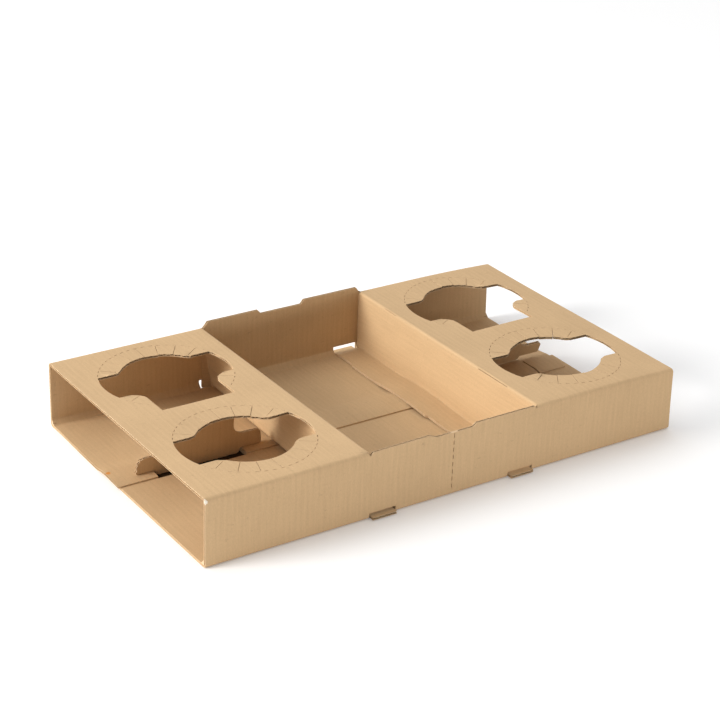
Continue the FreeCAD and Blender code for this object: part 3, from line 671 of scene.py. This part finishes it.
def board(name, col, stripe, mottle, rough=0.82):
    k = Mat(name)
    uvn = k.node("ShaderNodeUVMap", uv_map="flat").outputs[0]
    obj = k.node("ShaderNodeTexCoord").outputs["Object"]
    sep = k.node("ShaderNodeSeparateXYZ")
    k.link(uvn, sep.inputs[0])
    # washboard of the liner over the flutes, never quite regular
    drift = k.math("MULTIPLY", k.noise(k.stretch(uvn, 40, 14), 1.0, 1.0), 0.8)
    ph = k.math("ADD", k.math("MULTIPLY", sep.outputs[0], 2 * math.pi / (PITCH * 1e-3)), drift)
    wv = k.math("SINE", ph)
    amp = k.math("MULTIPLY", k.noise(k.stretch(uvn, 22, 9), 1.0, 1.0), stripe)
    wave_c = k.math("MULTIPLY", wv, amp)
    streak = k.math("SUBTRACT", k.noise(k.stretch(uvn, 900, 45), 1.0, 4.0, 0.6), 0.5)
    cloud = k.math("SUBTRACT", k.noise(obj, 28.0, 4.0, 0.6), 0.5)
    fleck = k.math("SUBTRACT", k.noise(k.stretch(uvn, 1500, 700), 1.0, 3.0, 0.7), 0.5)
    v = k.math("ADD", k.math("MULTIPLY", streak, 0.16 * mottle), k.math("MULTIPLY", cloud, 0.15 * mottle))
    v = k.math("ADD", v, k.math("MULTIPLY", fleck, 0.22 * mottle))
    v = k.math("ADD", v, wave_c)
    v = k.math("ADD", v, 1.0)
    comb = k.node("ShaderNodeCombineXYZ")
    k.link(v, comb.inputs[0])
    k.link(k.math("ADD", k.math("MULTIPLY", v, 1.06), -0.06), comb.inputs[1])
    k.link(k.math("ADD", k.math("MULTIPLY", v, 1.14), -0.14), comb.inputs[2])
    base = k.node("ShaderNodeVectorMath", operation="MULTIPLY")
    k.link(comb.outputs[0], base.inputs[0])
    base.inputs[1].default_value = col
    # a few long darker fibres
    fib = k.noise(k.stretch(obj, 260, 900, 500), 1.0, 2.0, 0.5)
    rampn = k.node("ShaderNodeMapRange")
    rampn.inputs["From Min"].default_value = 0.68
    rampn.inputs["From Max"].default_value = 0.76
    rampn.inputs["To Max"].default_value = 0.30
    k.link(fib, rampn.inputs["Value"])
    c = k.mix(rampn.outputs[0], base.outputs[0], tuple(x * 0.55 for x in col))
    for at, rad, tint in marks:
        dv = k.node("ShaderNodeVectorMath", operation="DISTANCE")
        k.link(obj, dv.inputs[0])
        dv.inputs[1].default_value = at
        ragged = k.math("ADD", dv.outputs["Value"], k.math("MULTIPLY", k.math("SUBTRACT", k.noise(obj, 900.0, 2.0), 0.5), rad * 1.2))
        mr = k.node("ShaderNodeMapRange")
        mr.inputs["From Min"].default_value = rad
        mr.inputs["From Max"].default_value = rad * 0.6
        k.link(ragged, mr.inputs["Value"])
        c = k.mix(mr.outputs[0], c, tint)
    k.link(c, k.b.inputs["Base Color"])
    k.b.inputs["Roughness"].default_value = rough
    k.b.inputs["Specular IOR Level"].default_value = 0.25
    hgt = k.math("ADD", k.math("MULTIPLY", wv, 0.5), k.math("ADD", k.math("MULTIPLY", streak, 0.5), k.math("MULTIPLY", fleck, 0.6)))
    bump = k.node("ShaderNodeBump")
    bump.inputs["Strength"].default_value = 0.35
    bump.inputs["Distance"].default_value = 0.00004
    k.link(hgt, bump.inputs["Height"])
    k.link(bump.outputs[0], k.b.inputs["Normal"])
    return k.m


KRAFT = (0.570, 0.386, 0.210)
mesh.materials.append(board("kraft_liner", KRAFT, 0.024, 1.25))
mesh.materials.append(board("kraft_cut_edge", (0.60, 0.43, 0.26), 0.0, 1.5, 0.92))
mesh.materials.append(board("kraft_flute", (0.50, 0.335, 0.18), 0.0, 1.6, 0.9))
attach(sheet, "root")
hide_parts("cup_carrier")

# ---------------------------------------------------------------- floor, light, camera
bpy.ops.mesh.primitive_plane_add(size=12.0, location=(0, 0, -0.0002))
floor = bpy.context.object
floor.name = "studio_floor"
fl = Mat("paper_floor")
nz = fl.noise(fl.node("ShaderNodeTexCoord").outputs["Object"], 3.0, 3.0)
sp = fl.node("ShaderNodeSeparateXYZ")
fl.link(fl.node("ShaderNodeTexCoord").outputs["Object"], sp.inputs[0])
# painted shadow: under the carrier's footprint the floor is dark brown and does not glow, so the open base slot and
# cuts read as deep shade
painted_shadow_under = fl.math("MULTIPLY", fl.math("LESS_THAN", fl.math("ABSOLUTE", sp.outputs[0]), 0.1440),
                fl.math("LESS_THAN", fl.math("ABSOLUTE", sp.outputs[1]), 0.079))
pale = fl.mix(nz, (0.885, 0.885, 0.89), (0.905, 0.905, 0.905))
fl.link(fl.mix(painted_shadow_under, pale, (0.05, 0.035, 0.02)), fl.b.inputs["Base Color"])
fl.b.inputs["Emission Color"].default_value = (1.0, 1.0, 1.0, 1.0)
fl.link(fl.math("MULTIPLY", fl.math("SUBTRACT", 1.0, painted_shadow_under), 0.12), fl.b.inputs["Emission Strength"])
fl.b.inputs["Roughness"].default_value = 0.95
fl.b.inputs["Specular IOR Level"].default_value = 0.1
floor.data.materials.append(fl.m)

world = bpy.data.worlds.new("studio")
bpy.context.scene.world = world
world.use_nodes = True
wt = world.node_tree
bg = wt.nodes["Background"]
bg.inputs["Color"].default_value = (1.0, 1.0, 1.0, 1.0)
# the studio is darker low down on the side of the front wall
wsep = wt.nodes.new("ShaderNodeSeparateXYZ")
wt.links.new(wt.nodes.new("ShaderNodeTexCoord").outputs["Generated"], wsep.inputs[0])
wr = wt.nodes.new("ShaderNodeMapRange")
wr.inputs["From Min"].default_value = -0.85
wr.inputs["From Max"].default_value = 0.15
wr.inputs["To Min"].default_value = 0.17
wr.inputs["To Max"].default_value = 1.07
wt.links.new(wsep.outputs[1], wr.inputs["Value"])
wt.links.new(wr.outputs[0], bg.inputs["Strength"])


def area(name, loc, target, size, power):
    d = bpy.data.lights.new(name, "AREA")
    d.shape = "DISK"
    d.size = size
    d.energy = power
    d.color = (1.0, 0.99, 0.975)
    o = bpy.data.objects.new(name, d)
    bpy.context.scene.collection.objects.link(o)
    o.location = loc
    o.rotation_mode = "QUATERNION"
    o.rotation_quaternion = (Vector(target) - Vector(loc)).to_track_quat("-Z", "Y")
    return o


area("key", (-2.00, 0.42, 0.84), (0, 0, 0.02), 0.95, 48.0)
card = area("low_card", (0.25, -1.40, 0.060), (0.0, 0.0, 0.030), 1.5, 5.6)
card.data.shape = "RECTANGLE"
card.data.size_y = 0.10

f_, az, el, ro, dist, tx, ty = 1.9495, math.radians(-34.215), math.radians(25.452), math.radians(2.107), 7.3015, -0.0100, 0.2513
back = Vector((math.sin(az) * math.cos(el), -math.cos(az) * math.cos(el), math.sin(el)))
rt = Vector((0, 0, 1)).cross(back).normalized()
up = back.cross(rt)
c_, s_ = math.cos(ro), math.sin(ro)
r2, u2 = c_ * rt + s_ * up, -s_ * rt + c_ * up
loc = (dist * back + tx * r2 + ty * u2) * 0.148
cam_data = bpy.data.cameras.new("camera")
cam_data.sensor_width = 36.0
cam_data.lens = f_ * 1000 / 720 * 36.0
cam = bpy.data.objects.new("camera", cam_data)
bpy.context.scene.collection.objects.link(cam)
cam.matrix_world = Matrix(((r2.x, u2.x, back.x, loc.x), (r2.y, u2.y, back.y, loc.y), (r2.z, u2.z, back.z, loc.z), (0, 0, 0, 1)))
bpy.context.scene.camera = cam
bpy.context.scene.view_settings.view_transform = "Standard"
bpy.context.scene.view_settings.look = "None"

bpy.context.view_layer.update()
